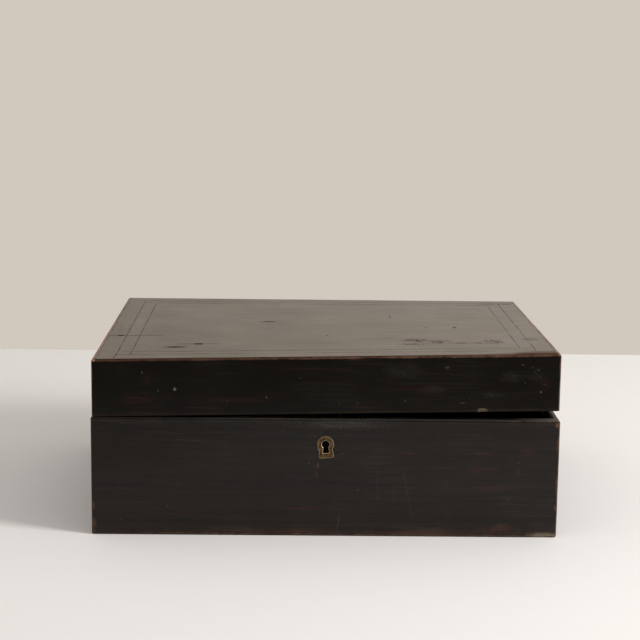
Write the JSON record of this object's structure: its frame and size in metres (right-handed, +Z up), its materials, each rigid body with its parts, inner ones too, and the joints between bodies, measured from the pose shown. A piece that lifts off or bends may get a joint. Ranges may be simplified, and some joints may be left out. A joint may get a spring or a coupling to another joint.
{
  "type": "hinged wooden box",
  "caption": "Ebonised wooden box with a hinged lid slightly open from warping, dovetailed boards, stringing round the top, brass keyhole escutcheon and a box lock.",
  "frame": {"origin": "middle of the box's footprint, on the surface that it stands on", "axes": "+X to the right along the front, +Y from the front to the hinged back, +Z up"},
  "size_m": [0.305, 0.241, 0.1232],
  "materials": {
    "ebonised_wood": "black-stained and polished wood, worn red-brown at the edges, bare inside",
    "bare_wood": "unfinished red-brown wood, darkened with age",
    "stringing": "thin dark wood lines flush with the top",
    "old_brass": "tarnished brass, brighter on its worn rim",
    "lock_brass": "aged brass with fine scratches",
    "steel": "old bright steel gone grey"
  },
  "bodies": {
    "base": {"base_front": "ebonised_wood", "base_back": "ebonised_wood", "base_left_side": "ebonised_wood", "base_right_side": "ebonised_wood", "base_bottom": "bare_wood", "bottom_brads": "steel", "escutcheon": "old_brass", "lock_plate": "lock_brass", "lock_cap": "lock_brass", "lock_studs": "lock_brass", "lock_drill_pin": "lock_brass", "lock_spring": "steel", "lock_screws": "lock_brass", "left_hinge_base_leaf": "lock_brass", "right_hinge_base_leaf": "lock_brass", "left_hinge_pin": "steel", "right_hinge_pin": "steel", "base_hinge_screws": "lock_brass"},
    "lid": {"lid_front": "ebonised_wood", "lid_back": "ebonised_wood", "lid_left_side": "ebonised_wood", "lid_right_side": "ebonised_wood", "lid_top_panel": "ebonised_wood", "lid_outer_line": "stringing", "lid_inner_line": "stringing", "link_plate": "lock_brass", "link_hooks": "lock_brass", "link_screws": "lock_brass", "left_hinge_lid_leaf": "lock_brass", "right_hinge_lid_leaf": "lock_brass", "lid_hinge_screws": "lock_brass"},
    "bolt": {"lock_bolt": "steel"}
  },
  "joints": [
    {"name": "lid_hinge", "type": "hinge", "parent": "base", "child": "lid", "pos_m": [0, 0.1181, 0.079], "axis": [-1, 0, 0], "range_deg": [0, 100]},
    {"name": "bolt_slide", "type": "slide", "parent": "base", "child": "bolt", "axis": [1, 0, 0], "range_m": [0, 0.0035]}
  ]
}
